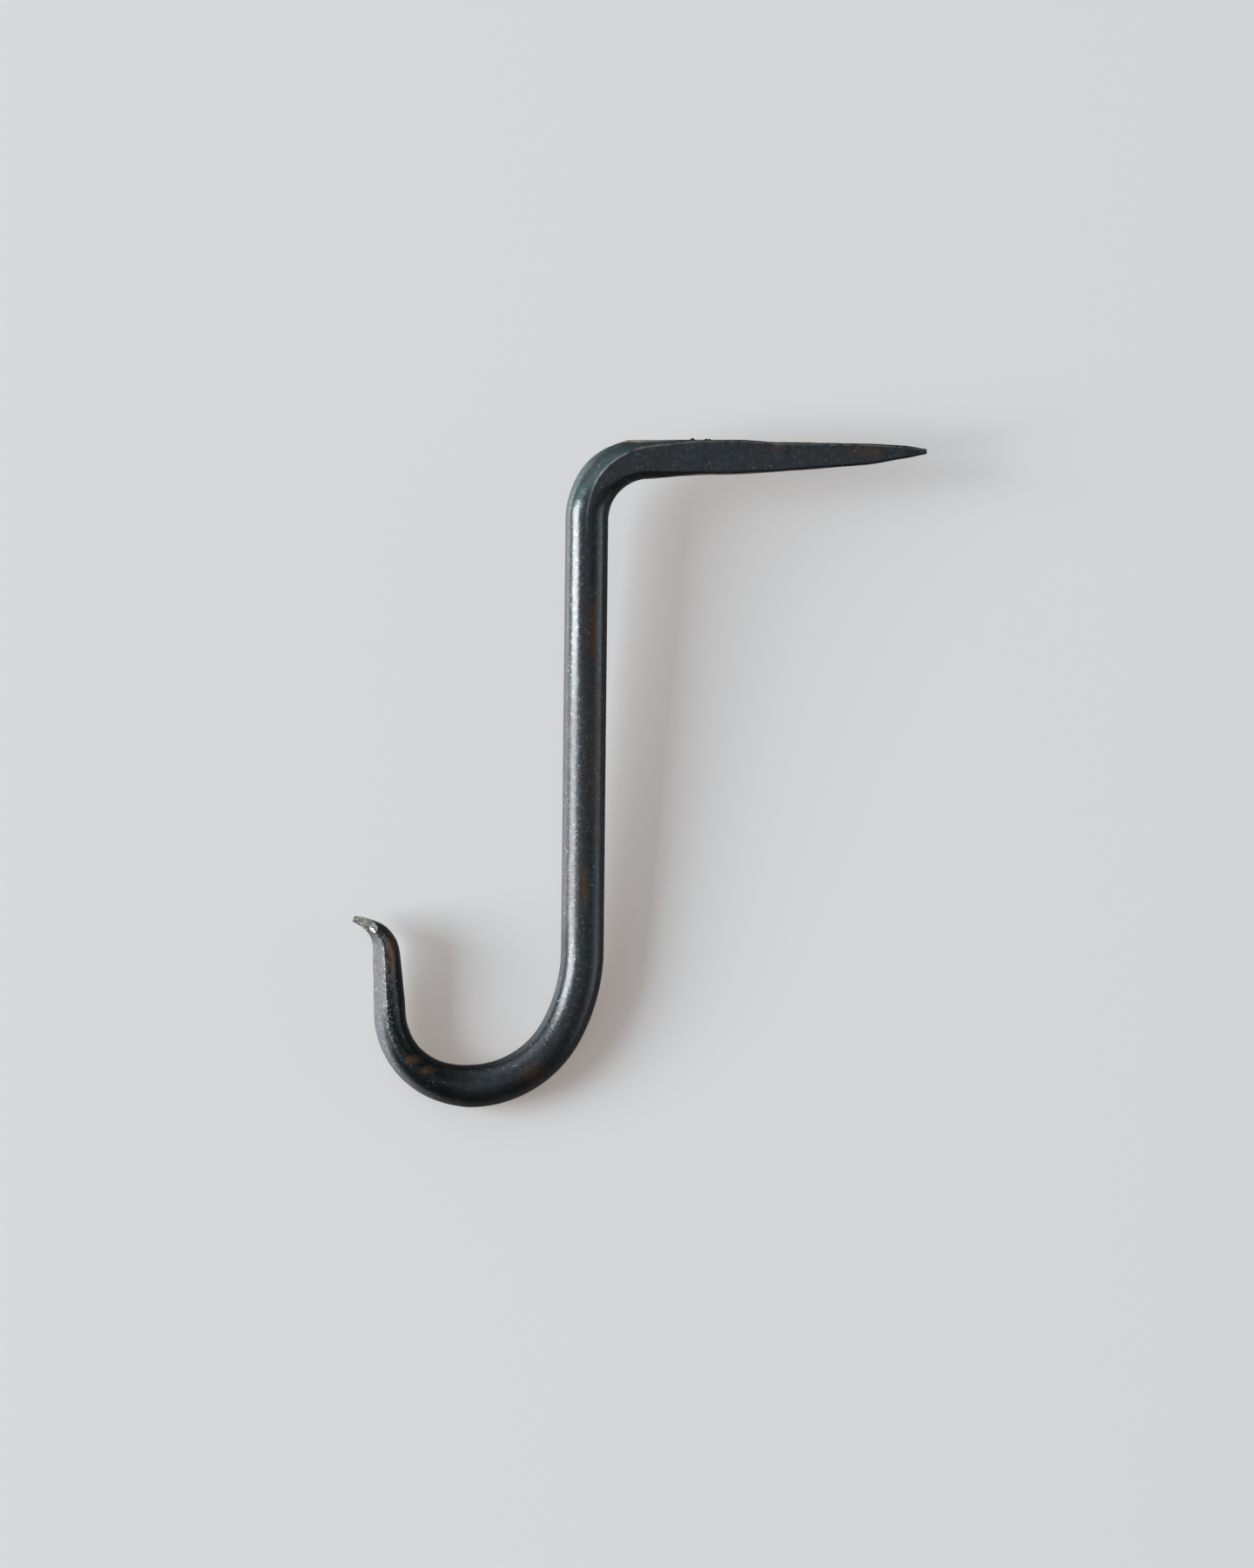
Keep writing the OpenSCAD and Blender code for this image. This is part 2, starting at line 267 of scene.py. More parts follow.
# %% A value that can be calculated with
class Field:
    def __init__(self, tree, socket):
        self.tree, self.socket = tree, socket

    def do(self, operation, *others, clamp=False):
        node = self.tree.nodes.new("ShaderNodeMath")
        node.operation, node.use_clamp = operation, clamp
        for socket, value in zip(node.inputs, (self, *others)):
            plug(self.tree, socket, value)
        return Field(self.tree, node.outputs[0])

    def __add__(self, other):
        return self.do("ADD", other)

    def __sub__(self, other):
        return self.do("SUBTRACT", other)

    def __mul__(self, other):
        return self.do("MULTIPLY", other)

    def __truediv__(self, other):
        return self.do("DIVIDE", other)

    def __radd__(self, other):
        return self.do("ADD", other)

    def __rmul__(self, other):
        return self.do("MULTIPLY", other)

    def __rsub__(self, other):
        return (self * -1).do("ADD", other)

    def clamped(self):
        return self.do("ADD", 0.0, clamp=True)

    def mix(self, other, share):
        """This value, moved towards the other by a share."""
        return self + (self * -1 + other) * share


def plug(tree, socket, value):
    if isinstance(value, Field):
        tree.links.new(value.socket, socket)
    else:
        socket.default_value = value


# %% Helpers that add a node
def add(tree, kind, settings=None, **inputs):
    """A node with its settings and inputs. An input's spaces are written as underscores."""
    node = tree.nodes.new(kind)
    for key, value in (settings or {}).items():
        setattr(node, key, value)
    for key, value in inputs.items():
        plug(tree, node.inputs[key.replace("_", " ")], value)
    return node


def out(tree, node, name=0):
    return Field(tree, node.outputs[name])


# %% Helpers for vectors and noise
def vector(tree, operation, *inputs, scale=None):
    """A Vector Math box. DISTANCE and LENGTH give a number, the others a vector."""
    node = add(tree, "ShaderNodeVectorMath", {"operation": operation})
    for socket, value in zip(node.inputs, inputs):
        plug(tree, socket, value)
    if scale is not None:
        plug(tree, node.inputs["Scale"], scale)
    return out(tree, node, "Value" if operation in ("DISTANCE", "LENGTH") else "Vector")


def vector_of(tree, x=0.0, y=0.0, z=0.0):
    return out(tree, add(tree, "ShaderNodeCombineXYZ", X=x, Y=y, Z=z))


def soft_noise(tree, size, detail, seed, at=None, roughness=0.5):
    """Soft noise from about 0.2 to 0.8, with bumps of the given size."""
    scale = size.do("POWER", -1.0) if isinstance(size, Field) else 1 / size
    node = add(
        tree, "ShaderNodeTexNoise", {"noise_dimensions": "4D"},
        Scale=scale, Detail=detail, Roughness=roughness, W=seed,
    )
    if at is not None:
        plug(tree, node.inputs["Vector"], at)
    return out(tree, node)


# %% [markdown]
# ## The skin
# `Curve to Mesh` sweeps a ring of corners along the wire, and each new point keeps what the wire
# stored. The ring alone is round, so a formula then puts every point where the section has it.
# The ring's quarter goes along half of a side face, round the bevel and along half of a front face,
# at an even pace, with a few extra corners on the bevel so that a sharp edge stays sharp. A box
# with a Bevel modifier could not melt from square to round like this.

# %% Start the tree
skin = bpy.data.node_groups.new("Forged bar", "GeometryNodeTree")


def tree_input(name, kind, value=None):
    socket = skin.interface.new_socket(name, in_out="INPUT", socket_type=kind)
    if value is not None:
        socket.default_value = value
    return socket


tree_input("Wire", "NodeSocketGeometry")
tree_input("Corners", "NodeSocketInt", 96)
tree_input("Bevel spread", "NodeSocketFloat", 0.6 * MM)
tree_input("Top flat", "NodeSocketFloat", TOP_FLAT * MM)
tree_input("Hammer depth", "NodeSocketFloat", 0.17 * MM)
tree_input("Hammer size", "NodeSocketFloat", 4.5 * MM)
tree_input("Ripple height", "NodeSocketFloat", 0.035 * MM)
tree_input("Ripple length", "NodeSocketFloat", 0.95 * MM)
tree_input("Pit depth", "NodeSocketFloat", 0.08 * MM)
tree_input("Pit size", "NodeSocketFloat", 1.1 * MM)
tree_input("Seed", "NodeSocketFloat", 4.0)
tree_input("Material", "NodeSocketMaterial")
skin.interface.new_socket("Skin", in_out="OUTPUT", socket_type="NodeSocketGeometry")
enter = skin.nodes.new("NodeGroupInput")
leave = skin.nodes.new("NodeGroupOutput")
print("the tree has", len(enter.outputs) - 1, "inputs")


def given(name):
    return out(skin, enter, name)


def stored(name, kind="FLOAT"):
    return out(skin, add(skin, "GeometryNodeInputNamedAttribute", {"data_type": kind}, Name=name))


# %% Sweep a ring along the wire
curve = add(skin, "GeometryNodeMeshToCurve", Mesh=given("Wire"))
ring = add(skin, "GeometryNodeCurvePrimitiveCircle", Resolution=given("Corners"))
corner = out(skin, skin.nodes.new("GeometryNodeInputIndex")) / given("Corners")
numbered = add(
    skin, "GeometryNodeStoreNamedAttribute", {"data_type": "FLOAT", "domain": "POINT"},
    Geometry=out(skin, ring), Name="turn", Value=corner,
)
swept = add(
    skin, "GeometryNodeCurveToMesh",
    Curve=out(skin, curve), Profile_Curve=out(skin, numbered), Fill_Caps=True,
)
swept = add(skin, "GeometryNodeFlipFaces", Mesh=out(skin, swept))
print("the sweep takes", len(skin.nodes), "nodes")

# %% The rule of the section
quarter = stored("turn") * 4
whole = quarter.do("FLOOR")
part = quarter.do("FRACT")
odd = whole.do("MODULO", 2.0)
pace = part.mix(1 - part, odd)
is_left = whole.do("LESS_THAN", 0.5) + whole.do("GREATER_THAN", 2.5)
is_back = whole.do("LESS_THAN", 1.5)
side = is_left * 2 - 1
face = is_back * 2 - 1
left, right = stored("left"), stored("right")
bevel_left, bevel_right = stored("bevel_left"), stored("bevel_right")
height = right.mix(left, is_left)
bevel = bevel_right.mix(bevel_left, is_left)
flatness = stored("flat_right").mix(stored("flat_left"), is_left)
half_depth = stored("depth") / 2
bevel_depth = half_depth * (bevel * 2 / (left + right)).do("MINIMUM", 1.0)

side_run = half_depth - bevel_depth
front_run = ((left + right - bevel_left - bevel_right) / 2).do("MAXIMUM", 0.0)
bevel_run = (bevel * bevel + bevel_depth * bevel_depth).do("SQRT") + given("Bevel spread")
gone = pace * (side_run + front_run + bevel_run)
tiny = 1e-7
on_side = (gone / side_run.do("MAXIMUM", tiny)).clamped()
on_bevel = ((gone - side_run) / bevel_run).clamped()
on_front = ((gone - side_run - bevel_run) / front_run.do("MAXIMUM", tiny)).clamped()

round_cos = (on_bevel * (math.pi / 2)).do("COSINE")
round_sin = (on_bevel * (math.pi / 2)).do("SINE")
pull = 1 - flatness * (1 - (round_cos + round_sin).do("POWER", -1.0))
rim_place = side * (height - bevel + bevel * round_cos * pull)
front_middle = (left - bevel_left - right + bevel_right) / 2
across = rim_place.mix(front_middle, on_front)
deep = face * (side_run * on_side + bevel_depth * round_sin * pull)
print("the section's rule takes", len(skin.nodes), "nodes")


# %% Put every corner in its place
leftward_step = vector(skin, "SCALE", stored("leftward", "FLOAT_VECTOR"), scale=across)
placed = vector(skin, "ADD", stored("middle", "FLOAT_VECTOR"), leftward_step)
placed = vector(skin, "ADD", placed, vector_of(skin, y=deep))
split = add(skin, "ShaderNodeSeparateXYZ", Vector=placed)
top_z = out(skin, split, "Z").do("MINIMUM", given("Top flat"))
placed_x, placed_y = out(skin, split, "X"), out(skin, split, "Y")
hammered = vector_of(skin, placed_x, placed_y, top_z)
hammered = add(skin, "GeometryNodeSetPosition", Geometry=out(skin, swept), Position=hammered)
print("the top is hammered flat at", TOP_FLAT, "mm")

# %% [markdown]
# The front of the tip is one flat, filed after the curl was bent. A Boolean could cut it, but it
# would break up the even rows of the skin. Here all that stands in front of a slanted plane is
# pushed back to it, just short of it, so that no two points meet. A notch beside the flat's lower
# corner shows where the file was lifted off: it faces the window, so it is the brightest spot.

# %% File the front of the tip
FILE_BACK, FILE_DEPTH = 4.5, 4.0
FILE_TURN, FILE_TILT = math.radians(26.5), math.radians(24)
NOTCH_TURN, NOTCH_TILT = math.radians(40), math.radians(7)
NOTCH_RIGHT, NOTCH_LEFT, NOTCH_TOP, NOTCH_FOOT = -54.3, -56.1, -110.5, 0.75
NOTCH_Y, NOTCH_Z = -BAR_R - 0.2, -111.1
PUSHED_BACK = 0.996


def plane_y(x0, y0, z0, turn, tilt):
    """The y of a plane over the x and z of each point. It is turned to the left and tilted up."""
    slope_x, slope_z = -math.tan(turn), math.tan(tilt) / math.cos(turn)
    return y0 * MM + (placed_x - x0 * MM) * slope_x + (top_z - z0 * MM) * slope_z


file_x, file_z, _ = spots(np.array([bar_len - FILE_BACK]))[:, 0]
print("middle of the flat:", round(file_x, 2), round(file_z, 2))
flat_y = plane_y(file_x, -FILE_DEPTH, file_z, FILE_TURN, FILE_TILT)
notch_y = plane_y(NOTCH_RIGHT, NOTCH_Y, NOTCH_Z, NOTCH_TURN, NOTCH_TILT)
in_notch = placed_x.do("GREATER_THAN", NOTCH_LEFT * MM) * notch_y.do("GREATER_THAN", flat_y)
cut_y = flat_y.mix(notch_y, in_notch)
is_tip = stored("along").do("GREATER_THAN", (bar_len - 2 * FILE_BACK) * MM)
taken_off = is_tip * cut_y.do("GREATER_THAN", placed_y)
filed_y = placed_y.mix(cut_y, taken_off * PUSHED_BACK)
filed_place = vector_of(skin, placed_x, filed_y, top_z)


# %% [markdown]
# The finish has to know later where the file went. Two masks are kept on the skin before the points
# move: the bare flat and, inside it, the triangle of the notch. What the notch's plane cuts beside
# that triangle keeps its scale.

# %% Keep the filed places
def keep(geometry, name, kind, value):
    """Stores a value on every point of the skin under a name."""
    node = add(
        skin, "GeometryNodeStoreNamedAttribute", {"data_type": kind, "domain": "POINT"},
        Geometry=geometry, Name=name, Value=value,
    )
    return out(skin, node)


notch_slope = (placed_x - NOTCH_LEFT * MM) * NOTCH_FOOT
above_foot = (top_z - NOTCH_TOP * MM + notch_slope).do("GREATER_THAN", 0)
notch_here = top_z.do("LESS_THAN", NOTCH_TOP * MM) * above_foot
past_notch = in_notch * (1 - notch_here)
unfiled = keep(out(skin, hammered), "bare", "FLOAT", taken_off * (1 - past_notch))
unfiled = keep(unfiled, "notch", "FLOAT", taken_off * in_notch * notch_here)
shaped = add(skin, "GeometryNodeSetPosition", Geometry=unfiled, Position=filed_place)
print("the notch is", round(NOTCH_RIGHT - NOTCH_LEFT, 1), "mm wide")

# %% [markdown]
# ## Marks of the work
# A hammer leaves broad shallow facets, and the scale that falls off under it leaves pits. A mill
# leaves fine ripples across the round bar. A bump in the finish would give the same shading, but
# the outline of the hook would stay as straight as a ruler. So each is a height, worked out from
# soft noise, and the skin is pushed in or out by it along its own normal. The broad marks belong to
# the forged ends, so they fade out along the shank.


# %% Broad marks, pits and ripples
full_turn = stored("turn") * (2 * math.pi)
around_left = full_turn.do("COSINE") * (BAR_R * MM)
around_back = full_turn.do("SINE") * (BAR_R * MM)
on_bar = vector_of(skin, stored("along"), around_left, around_back)
MIDDLE = 0.5
PIT_FROM, PIT_EDGE = 0.6, 6
RIPPLE_ACROSS = (1, 0.22, 0.22)
HAMMER_ON_MILL, PITS_ON_MILL, RIPPLES_ALL_OVER = 0.1, 0.3, 0.25
seed = given("Seed")
forged = stored("forged_top").do("MAXIMUM", stored("forged_arm"))
hammer = (soft_noise(skin, given("Hammer size"), 1.0, seed) - MIDDLE) * given("Hammer depth") * 2
pit_noise = soft_noise(skin, given("Pit size"), 2.0, seed + 7.0)
pits = ((pit_noise - PIT_FROM) * PIT_EDGE).clamped() * given("Pit depth") * -1
ripple_at = vector(skin, "MULTIPLY", on_bar, RIPPLE_ACROSS)
ripple_noise = soft_noise(skin, given("Ripple length"), 1.5, seed + 3.0, at=ripple_at)
ripples = (ripple_noise - MIDDLE) * given("Ripple height") * 2
heights = hammer * (forged * (1 - HAMMER_ON_MILL) + HAMMER_ON_MILL)
heights = heights + pits * (PITS_ON_MILL + forged * (1 - PITS_ON_MILL))
heights = heights + ripples * (RIPPLES_ALL_OVER + stored("rippled"))
print("hammer marks, pits and ripples are heights now")

# %% [markdown]
# A few marks have a place of their own: blisters of scale that stand on the top edge of the spike,
# a dent where a hammer's corner struck, and nicks in two edges. Each is a small cone, up or down,
# with a middle, a radius and a height in mm.

# %% Single marks
SINGLE_MARKS = {
    "blister": ((19.7, -3.2, 3.6), 0.75, 0.65),
    "second blister": ((22.9, -3.2, 3.6), 0.65, 0.5),
    "third blister": ((23.7, -3.2, 3.6), 0.55, 0.4),
    "dent in the spike's edge": ((38.6, -3.9, 2.9), 2.3, -0.35),
    "dent in the spike's face": ((42.5, -3.9, 0.6), 1.7, -0.22),
    "nick in the shank": ((-0.2, -1.0, -83.8), 0.8, -0.4),
    "nick in the arm": ((-54.9, -2.0, -118.2), 0.9, -0.35),
    "second nick in the arm": ((-54.4, -2.4, -114.0), 0.7, -0.25),
}
here = out(skin, skin.nodes.new("GeometryNodeInputPosition"))
for (mark_x, mark_y, mark_z), radius, tall in SINGLE_MARKS.values():
    centre = (mark_x * MM, mark_y * MM, mark_z * MM)
    nearness = (1 - vector(skin, "DISTANCE", here, centre) / (radius * MM)).clamped()
    heights = heights + nearness * nearness.do("SQRT") * (tall * MM)
print(len(SINGLE_MARKS), "single marks")

# %% Push the skin along its normal
normal = out(skin, skin.nodes.new("GeometryNodeInputNormal"))
push = vector(skin, "SCALE", normal, scale=heights)
marked = add(skin, "GeometryNodeSetPosition", Geometry=out(skin, shaped), Offset=push)
print("the shape takes", len(skin.nodes), "nodes")

# %% [markdown]
# The finish also has to know where it is on the bar. Two more things are kept on the skin: the
# place on the bar before it was bent, so that ripples and streaks can follow it, and the distance
# from the ridge where the outer bevel meets the front, so that wear can follow the edge.

# %% Keep what the finish needs
past_middle = stored("along").do("GREATER_THAN", bar_len / 2 * MM)
is_outer = (1 - is_left).mix(is_left, past_middle)
from_bevel = (1 - on_bevel) * bevel_run
from_front = on_front * front_run
outer_gap = from_front - from_bevel
inner_gap = front_run * 2 - from_front + from_bevel
ridge_gap = inner_gap.mix(outer_gap, is_outer)
kept = keep(out(skin, marked), "on_bar", "FLOAT_VECTOR", on_bar)
kept = keep(kept, "ridge_gap", "FLOAT", ridge_gap)
smooth = add(skin, "GeometryNodeSetShadeSmooth", Geometry=kept)
whole_skin = add(skin, "GeometryNodeRealizeInstances", Geometry=out(skin, smooth))
painted = add(
    skin, "GeometryNodeSetMaterial", Geometry=out(skin, whole_skin), Material=given("Material")
)
skin.links.new(painted.outputs[0], leave.inputs[0])
print("the whole tree takes", len(skin.nodes), "nodes")

# %% [markdown]
# ## The finish
# The forge leaves a thin blue-black scale on the steel, and the smith rubs wax into it while it is
# warm. The scale is close to a metal and dark, so most of what the eye sees on it is a soft
# reflection. The wax is a thin clear coat on top. Colour, roughness and bump come in layers, from
# the broadest to the finest, and each layer is a mask that mixes in one more colour. Painted images
# would do as well from afar, but masks worked out from noise stay sharp however near one looks.

# %% A shader tree to calculate in
steel = bpy.data.materials.new("blackened_steel")
steel.use_nodes = True
paint = steel.node_tree
shader = next(n for n in paint.nodes if n.type == "BSDF_PRINCIPLED")
place = out(paint, paint.nodes.new("ShaderNodeTexCoord"), "Object")
print("the finish is called", steel.name)


def from_skin(name, output="Fac"):
    """A value that was kept on the skin."""
    return out(paint, add(paint, "ShaderNodeAttribute", {"attribute_name": name}), output)


def cloud(size, detail=2.0, shift=0.0, roughness=0.5, at=place):
    """Soft noise in the finish. The shift picks another pattern."""
    return soft_noise(paint, size, detail, shift, at, roughness)


def between(value, low, high):
    """0 below low, 1 above high, and straight in between."""
    return ((value - low) / (high - low)).clamped()


def tint(first, second, share, tree=paint):
    """Mixes two colours by a share."""
    node = add(tree, "ShaderNodeMix", {"data_type": "RGBA"}, Factor=share)
    sockets = [s for s in node.inputs if s.type == "RGBA"]
    for socket, value in zip(sockets, (first, second)):
        plug(tree, socket, value if isinstance(value, Field) else (*value, 1))
    return Field(tree, next(s for s in node.outputs if s.type == "RGBA"))


# %% [markdown]
# The scale itself is never one colour. It turns from blue-black to teal and to a brownish purple,
# in patches as wide as the bar, with finer mottling inside them. Each is tinted over the last.

# %% Colours of the scale
BLUE_BLACK = (0.062, 0.065, 0.073)
TEAL = (0.058, 0.070, 0.077)
PURPLE_BLACK = (0.068, 0.056, 0.062)
DARK_GRAIN = (0.034, 0.036, 0.040)
PALE_MOTTLE = (0.095, 0.112, 0.118)
teal_here = between(cloud(6 * MM, detail=3.0), 0.42, 0.6)
purple_here = between(cloud(3.5 * MM, detail=3.0, shift=4.0), 0.52, 0.66)
fine = cloud(0.5 * MM, detail=3.0, shift=2.0, roughness=0.65)
mottles = between(cloud(1.1 * MM, detail=5.0, shift=22.0, roughness=0.7), 0.5, 0.64)
scale_colour = tint(BLUE_BLACK, TEAL, teal_here)
scale_colour = tint(scale_colour, PURPLE_BLACK, purple_here * 0.8)
scale_colour = tint(scale_colour, DARK_GRAIN, between(fine, 0.55, 0.35) * 0.6)
scale_colour = tint(scale_colour, PALE_MOTTLE, mottles * 0.7)
print("scale: 5 colours in", len(paint.nodes), "nodes so far")

# %% [markdown]
# Some places took a colour of their own as they cooled. The front of the arm is sooty and the
# outside of the top bend is teal. The deeper teal inside the bowl and at the foot of the arm's
# bevel is painted
# shade: there the metal mirrors the shaded surface and turns from the window. It also narrows the
# bevel's pale band from the ridge outwards. Each place is a box of soft limits, in mm, since noise
# could not be told to stay there.

# %% Colours and painted shade of single places
on_bar = from_skin("on_bar", "Vector")
gap = from_skin("ridge_gap")
forged_top_here, forged_arm_here = from_skin("forged_top"), from_skin("forged_arm")
# The last of these three colours is a painted shade, not a colour of the steel.
SOOT, BEND_TEAL, SHADE_TEAL = (0.029, 0.026, 0.029), (0.047, 0.082, 0.086), (0.014, 0.022, 0.024)
arm_front = between(gap, 0.8 * MM, 1.9 * MM) * forged_arm_here
scale_colour = tint(scale_colour, SOOT, arm_front * 0.85)
apart = add(paint, "ShaderNodeSeparateXYZ", Vector=place)
place_x, place_y, place_z = (out(paint, apart, axis) for axis in "XYZ")
round_bend = between(place_x, 14 * MM, 6 * MM) * between(place_z, -16 * MM, -9 * MM)
patches = between(cloud(2.5 * MM, detail=4.0, shift=21.0, roughness=0.6), 0.3, 0.5)
outer_bend = between(gap, 0.2 * MM, -0.3 * MM) * round_bend * patches
scale_colour = tint(scale_colour, BEND_TEAL, outer_bend * 0.8)
bar_left = out(paint, add(paint, "ShaderNodeSeparateXYZ", Vector=on_bar), "Y")
# Painted shade in deep teal: inside the bowl and at the foot of the arm's bevel, where the metal
# mirrors the shaded surface and turns from the window.
bowl_shade = between(bar_left, -3.0 * MM, -4.0 * MM) * between(place_z, -106 * MM, -114 * MM)
FOOT_Z, FOOT_SLOPE = -127, 0.25
down_arm = (place_z * -1 + FOOT_Z * MM) * FOOT_SLOPE
bevel_shade = between(gap + down_arm, -0.6 * MM, 0.7 * MM)
bevel_shade = bevel_shade * between(place_z, -124 * MM, -132 * MM)
bevel_shade = bevel_shade * between(place_x, -30 * MM, -38 * MM)
scale_colour = tint(scale_colour, SHADE_TEAL, bowl_shade.do("MAXIMUM", bevel_shade) * 0.85)
print("three places tinted:", len(paint.nodes), "nodes so far")

# %% [markdown]
# Where the scale is thin, damp has stained it brown. The stains have places of their own: down the
# front of the shank, inside the bowl, on the arm below the curl and on the spike. Each is an
# ellipsoid with a middle, three radii in mm and a strength, and noise frays its edge. Noise alone
# would put them anywhere, so it only adds the faintest ones.

# %% Brown stains
BROWN = (0.145, 0.078, 0.045)
STAINS = {
    "front of the shank": ((-3.5, -4.6, -41), (1.5, 2.5, 12), 0.8),
    "down the shank": ((-3.6, -4.6, -68), (1.6, 2.5, 28), 0.35),
    "foot of the shank": ((-5.2, -4.6, -101), (1.2, 2.5, 8), 0.7),
    "rise of the bowl": ((-45.7, -3.8, -141.2), (2.4, 4, 1.5), 1.0),
    "inside of the bowl": ((-42.4, -3.8, -143.8), (2.6, 4, 1.3), 1.0),
    "bottom of the bowl": ((-17.5, -4.2, -144.6), (4, 4, 3), 0.6),
    "arm": ((-50.9, -3.6, -116.5), (1.9, 3, 7), 1.0),
    "edge of the top flat": ((7.1, -3.4, 3.4), (1.8, 2, 0.9), 1.0),
    "dented edge": ((38.6, -3.9, 2.2), (3.2, 2, 2), 0.35),
    "spike near its point": ((61, -2.8, 0.8), (6, 3, 1.6), 0.5),
}
FRAY_DEPTH = 1.6
fray = (cloud(1.3 * MM, detail=4.0, shift=5.0, roughness=0.65) - MIDDLE) * FRAY_DEPTH
brown_mask = between(cloud(5 * MM, detail=4.0, shift=6.0, roughness=0.6), 0.64, 0.74) * 0.5
for middle_at, radii, strength in STAINS.values():
    centre = tuple(c * MM for c in middle_at)
    size = tuple(r * MM for r in radii)
    offset = vector(paint, "SUBTRACT", place, centre)
    reach = vector(paint, "LENGTH", vector(paint, "DIVIDE", offset, size))
    stain = between(1 - reach + fray, 0.05, 0.6) * strength
    brown_mask = brown_mask.do("MAXIMUM", stain)
stained = tint(scale_colour, BROWN, brown_mask)
print(len(STAINS), "stains")

# %% [markdown]
# Rubbed edges and grit show bare metal: a thin broken line along the ridge of the bend and the
# spike, a frosting of bright grains beside the arm's ridge, and scattered specks and scratches.
# Wear sits where hands and other iron touch, so the line and the frosting are measured from the
# ridge, and only the specks and scratches are left to noise.

# %% Bare metal
WORN = (0.34, 0.30, 0.25)
GRAIN = (0.42, 0.43, 0.40)
line = between(gap.do("ABSOLUTE"), 0.34 * MM, 0.06 * MM) * forged_top_here
line = line * between(cloud(1.6 * MM, detail=4.0, shift=9.0, roughness=0.6), 0.36, 0.52)
frost = between(gap, -1.5 * MM, 0.5 * MM) * between(gap, 2.6 * MM, 0.4 * MM) * forged_arm_here
frost = frost * between(place_z, -142 * MM, -131 * MM)
grit = between(cloud(0.42 * MM, detail=2.0, shift=11.0, roughness=0.6), 0.50, 0.60)
specks = between(cloud(0.55 * MM, detail=1.0, shift=13.0), 0.65, 0.71)
specks = specks * between(cloud(4 * MM, detail=2.0, shift=14.0), 0.36, 0.55)
SCRATCH_ACROSS = (1, 0.16, 0.16)
scratch_at = vector(paint, "MULTIPLY", on_bar, SCRATCH_ACROSS)
scratches = between(cloud(0.3 * MM, detail=1.0, shift=15.0, at=scratch_at), 0.72, 0.76)
scratches = scratches * between(cloud(7 * MM, detail=1.0, shift=16.0), 0.5, 0.6)
metal_mask = (line * 0.75).do("MAXIMUM", frost * grit * 0.75)
metal_mask = metal_mask.do("MAXIMUM", specks * 0.4).do("MAXIMUM", scratches * 0.35)
colour = tint(stained, tint(GRAIN, WORN, line), metal_mask)
print("line, frosting, specks and scratches:", len(paint.nodes), "nodes so far")

# %% A painted reflection on top of the bend
# A pale painted reflection: the top flat's front edge, seen at a grazing angle, mirrors the bright
# room, and this colour stands for that sheen.
PAINTED_SHEEN = (0.62, 0.60, 0.56)
top_sheen = between(place_z, 3.1 * MM, 3.35 * MM) * between(place_y, -0.1 * MM, -0.7 * MM)
top_sheen = top_sheen * between(place_x, 2.6 * MM, 4.0 * MM) * between(place_x, 17 * MM, 9 * MM)
colour = tint(colour, PAINTED_SHEEN, top_sheen * 0.8)
print("bare metal added:", len(paint.nodes), "nodes so far")

# %% [markdown]
# The very tip was filed flat on its front after the curl, so it is bright steel with the fine
# slanting lines of the file. The lines are noise that is drawn out across the file's way. The scale
# and the steel are both metal, and a little tint at grazing angles keeps the rims from glaring.

# %% Filed tip
FILED, FILED_DARK, BURR = (0.24, 0.23, 0.21), (0.05, 0.047, 0.045), (0.85, 0.83, 0.80)
FILE_LINE = 0.26 * MM
bare_here = between(from_skin("bare"), 0.35, 0.6)
DRAWN_OUT = (0.3, 1, 1)
file_at = vector(paint, "MULTIPLY", place, DRAWN_OUT)
file_lines = cloud(FILE_LINE, detail=1.0, shift=17.0, at=file_at)
filed_colour = tint(FILED, FILED_DARK, between(file_lines, 0.4, 0.6))
filed_colour = tint(filed_colour, BURR, between(from_skin("notch"), 0.3, 0.6))
colour = tint(colour, filed_colour, bare_here)
plug(paint, shader.inputs["Base Color"], colour)
shader.inputs["Metallic"].default_value = 1.0
EDGE_TINT = (0.65, 0.66, 0.68)
shader.inputs["Specular Tint"].default_value = (*EDGE_TINT, 1)
print("the file's lines are about", round(FILE_LINE / MM, 2), "mm apart")

# %% [markdown]
# Waxed scale is smooth, but never even. It is duller where it is stained, worn or rippled, and that
# breaks up the long highlight. One number for the whole hook would make it look like plastic. The
# wax is thin and keeps a sharper shine over it.

# %% Roughness and wax
SMOOTH = 0.27
WAX, WAX_ROUGH = 0.3, 0.21
rippled_here = from_skin("rippled")
worn_ridge = between(gap.do("ABSOLUTE"), 1.3 * MM, 0.4 * MM) * forged_arm_here
rough = SMOOTH + (fine - MIDDLE) * 0.16 + brown_mask * 0.16 + metal_mask * 0.2
rough = rough + bare_here * 0.1 + rippled_here * 0.14 + worn_ridge * 0.2
plug(paint, shader.inputs["Roughness"], rough)
shader.inputs["Coat Weight"].default_value = WAX
shader.inputs["Coat Roughness"].default_value = WAX_ROUGH
print("roughness starts at", SMOOTH)

# %% [markdown]
# The grain of the scale, the cross lines of the mill and the lines of the file are finer than the
# rows of the skin, so they are a bump. It is calmer on the upper shank, which the hammer never met.

